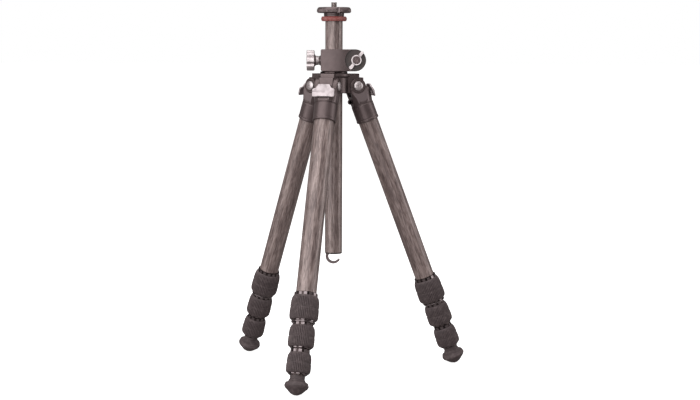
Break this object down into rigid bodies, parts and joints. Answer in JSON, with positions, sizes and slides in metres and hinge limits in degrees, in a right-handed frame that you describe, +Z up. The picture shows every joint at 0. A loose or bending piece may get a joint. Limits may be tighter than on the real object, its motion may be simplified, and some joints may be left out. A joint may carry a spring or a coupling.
{
  "type": "tripod",
  "caption": "Carbon-fibre tripod with twist-lock legs, a sliding centre column held by a side clamp, a threaded camera platform and a ballast hook.",
  "frame": {"origin": "on the floor, at the middle of the bounding box seen from above", "axes": "+Z up; the camera side of the tripod faces -Y, with the clamp knob on the -X side and the lever on the +X side"},
  "size_m": [0.3818, 0.3834, 0.5973],
  "materials": {
    "carbon_tube": "woven carbon fibre in gloss resin",
    "cast_aluminium": "bead-blasted, black anodised",
    "silver_aluminium": "machined and clear anodised",
    "lock_rubber": "moulded ribbed rubber",
    "foot_rubber": "moulded rubber",
    "shock_rubber": "red moulded rubber",
    "nylon": "moulded nylon",
    "steel": "turned steel"
  },
  "bodies": {
    "root": {"spider": "cast_aluminium", "pan_ring": "cast_aluminium"},
    "clamp_block": {"column_clamp_block": "cast_aluminium", "clamp_shoe": "nylon"},
    "clamp_knob": {"clamp_knob": "silver_aluminium", "clamp_screw": "steel"},
    "tilt_lever": {"tilt_lever": "silver_aluminium", "lever_screw": "cast_aluminium"},
    "column": {"column_tube": "carbon_tube", "column_head": "cast_aluminium", "shock_ring": "shock_rubber", "camera_platform": "cast_aluminium", "camera_stud": "steel", "column_end_cap": "nylon", "hook_spring": "steel"},
    "hook": {"ballast_hook": "cast_aluminium"},
    "right_leg": {"right_leg_casting": "cast_aluminium", "right_hinge_axle": "silver_aluminium", "right_tube_1": "carbon_tube", "right_collet_1": "nylon"},
    "right_tab": {"right_angle_tab": "silver_aluminium"},
    "right_collar_1": {"right_collar_1": "lock_rubber"},
    "right_section_2": {"right_tube_2": "carbon_tube", "right_collet_2": "nylon"},
    "right_collar_2": {"right_collar_2": "lock_rubber"},
    "right_section_3": {"right_tube_3": "carbon_tube", "right_collet_3": "nylon"},
    "right_collar_3": {"right_collar_3": "lock_rubber"},
    "right_section_4": {"right_tube_4": "carbon_tube", "right_foot": "foot_rubber"},
    "left_leg": {"left_leg_casting": "cast_aluminium", "left_hinge_axle": "silver_aluminium", "left_tube_1": "carbon_tube", "left_collet_1": "nylon"},
    "left_tab": {"left_angle_tab": "silver_aluminium"},
    "left_collar_1": {"left_collar_1": "lock_rubber"},
    "left_section_2": {"left_tube_2": "carbon_tube", "left_collet_2": "nylon"},
    "left_collar_2": {"left_collar_2": "lock_rubber"},
    "left_section_3": {"left_tube_3": "carbon_tube", "left_collet_3": "nylon"},
    "left_collar_3": {"left_collar_3": "lock_rubber"},
    "left_section_4": {"left_tube_4": "carbon_tube", "left_foot": "foot_rubber"},
    "front_leg": {"front_leg_casting": "cast_aluminium", "front_hinge_axle": "silver_aluminium", "front_tube_1": "carbon_tube", "front_collet_1": "nylon"},
    "front_tab": {"front_angle_tab": "silver_aluminium"},
    "front_collar_1": {"front_collar_1": "lock_rubber"},
    "front_section_2": {"front_tube_2": "carbon_tube", "front_collet_2": "nylon"},
    "front_collar_2": {"front_collar_2": "lock_rubber"},
    "front_section_3": {"front_tube_3": "carbon_tube", "front_collet_3": "nylon"},
    "front_collar_3": {"front_collar_3": "lock_rubber"},
    "front_section_4": {"front_tube_4": "carbon_tube", "front_foot": "foot_rubber"}
  },
  "joints": [
    {"name": "block_pan", "type": "hinge", "parent": "root", "child": "clamp_block", "pos_m": [-0.02738, 0.02566, 0.48694], "axis": [0, 0, 1], "continuous": true},
    {"name": "clamp_turn", "type": "hinge", "parent": "clamp_block", "child": "clamp_knob", "pos_m": [-0.05738, 0.02566, 0.50414], "axis": [1, 0, 0], "range_deg": [0, 360]},
    {"name": "lever_swing", "type": "hinge", "parent": "clamp_block", "child": "tilt_lever", "pos_m": [0.00882, 0.00616, 0.50494], "axis": [0, -1, 0], "range_deg": [0, 90]},
    {"name": "column_slide", "type": "slide", "parent": "clamp_block", "child": "column", "axis": [0, 0, 1], "range_m": [-0.0444, 0.27]},
    {"name": "hook_pull", "type": "slide", "parent": "column", "child": "hook", "axis": [0, 0, -1], "range_m": [0, 0.008], "stiffness_N_per_m": 300, "springref_m": -0.003, "deforming": ["hook_spring"]},
    {"name": "right_leg_hinge", "type": "hinge", "parent": "root", "child": "right_leg", "pos_m": [0.00755, 0.03469, 0.46354], "axis": [0.2504, -0.9681, 0], "range_deg": [-20.88, 60]},
    {"name": "right_tab_pull", "type": "slide", "parent": "right_leg", "child": "right_tab", "axis": [-0.9046, -0.2339, -0.3564], "range_m": [-0.006, 0], "stiffness_N_per_m": 300, "springref_m": 0.003},
    {"name": "right_slide_2", "type": "slide", "parent": "right_leg", "child": "right_section_2", "axis": [0.3451, 0.0892, -0.9343], "range_m": [0, 0.26]},
    {"name": "right_slide_3", "type": "slide", "parent": "right_section_2", "child": "right_section_3", "axis": [0.3451, 0.0892, -0.9343], "range_m": [0, 0.26]},
    {"name": "right_slide_4", "type": "slide", "parent": "right_section_3", "child": "right_section_4", "axis": [0.3451, 0.0892, -0.9343], "range_m": [0, 0.26]},
    {"name": "right_twist_1", "type": "hinge", "parent": "right_leg", "child": "right_collar_1", "pos_m": [0.13053, 0.06649, 0.13055], "axis": [-0.3451, -0.0892, 0.9343], "range_deg": [0, 90]},
    {"name": "right_twist_2", "type": "hinge", "parent": "right_section_2", "child": "right_collar_2", "pos_m": [0.14605, 0.07051, 0.08851], "axis": [-0.3451, -0.0892, 0.9343], "range_deg": [0, 90]},
    {"name": "right_twist_3", "type": "hinge", "parent": "right_section_3", "child": "right_collar_3", "pos_m": [0.15986, 0.07408, 0.05113], "axis": [-0.3451, -0.0892, 0.9343], "range_deg": [0, 90]},
    {"name": "left_leg_hinge", "type": "hinge", "parent": "root", "child": "left_leg", "pos_m": [-0.05267, 0.05139, 0.46354], "axis": [0.7133, 0.7009, 0], "range_deg": [-20.88, 60]},
    {"name": "left_tab_pull", "type": "slide", "parent": "left_leg", "child": "left_tab", "axis": [0.6549, -0.6664, -0.3564], "range_m": [-0.006, 0], "stiffness_N_per_m": 300, "springref_m": 0.003},
    {"name": "left_slide_2", "type": "slide", "parent": "left_leg", "child": "left_section_2", "axis": [-0.2498, 0.2542, -0.9343], "range_m": [0, 0.26]},
    {"name": "left_slide_3", "type": "slide", "parent": "left_section_2", "child": "left_section_3", "axis": [-0.2498, 0.2542, -0.9343], "range_m": [0, 0.26]},
    {"name": "left_slide_4", "type": "slide", "parent": "left_section_3", "child": "left_section_4", "axis": [-0.2498, 0.2542, -0.9343], "range_m": [0, 0.26]},
    {"name": "left_twist_1", "type": "hinge", "parent": "left_leg", "child": "left_collar_1", "pos_m": [-0.1417, 0.14199, 0.13055], "axis": [0.2498, -0.2542, 0.9343], "range_deg": [0, 90]},
    {"name": "left_twist_2", "type": "hinge", "parent": "left_section_2", "child": "left_collar_2", "pos_m": [-0.15294, 0.15343, 0.08851], "axis": [0.2498, -0.2542, 0.9343], "range_deg": [0, 90]},
    {"name": "left_twist_3", "type": "hinge", "parent": "left_section_3", "child": "left_collar_3", "pos_m": [-0.16293, 0.1636, 0.05113], "axis": [0.2498, -0.2542, 0.9343], "range_deg": [0, 90]},
    {"name": "front_leg_hinge", "type": "hinge", "parent": "root", "child": "front_leg", "pos_m": [-0.03702, -0.00911, 0.46354], "axis": [-0.9636, 0.2672, 0], "range_deg": [-20.88, 60]},
    {"name": "front_tab_pull", "type": "slide", "parent": "front_leg", "child": "front_tab", "axis": [0.2497, 0.9003, -0.3564], "range_m": [-0.006, 0], "stiffness_N_per_m": 300, "springref_m": 0.003},
    {"name": "front_slide_2", "type": "slide", "parent": "front_leg", "child": "front_section_2", "axis": [-0.0952, -0.3434, -0.9343], "range_m": [0, 0.26]},
    {"name": "front_slide_3", "type": "slide", "parent": "front_section_2", "child": "front_section_3", "axis": [-0.0952, -0.3434, -0.9343], "range_m": [0, 0.26]},
    {"name": "front_slide_4", "type": "slide", "parent": "front_section_3", "child": "front_section_4", "axis": [-0.0952, -0.3434, -0.9343], "range_m": [0, 0.26]},
    {"name": "front_twist_1", "type": "hinge", "parent": "front_leg", "child": "front_collar_1", "pos_m": [-0.07097, -0.13151, 0.13055], "axis": [0.0952, 0.3434, 0.9343], "range_deg": [0, 90]},
    {"name": "front_twist_2", "type": "hinge", "parent": "front_section_2", "child": "front_collar_2", "pos_m": [-0.07525, -0.14697, 0.08851], "axis": [0.0952, 0.3434, 0.9343], "range_deg": [0, 90]},
    {"name": "front_twist_3", "type": "hinge", "parent": "front_section_3", "child": "front_collar_3", "pos_m": [-0.07906, -0.16071, 0.05113], "axis": [0.0952, 0.3434, 0.9343], "range_deg": [0, 90]}
  ]
}
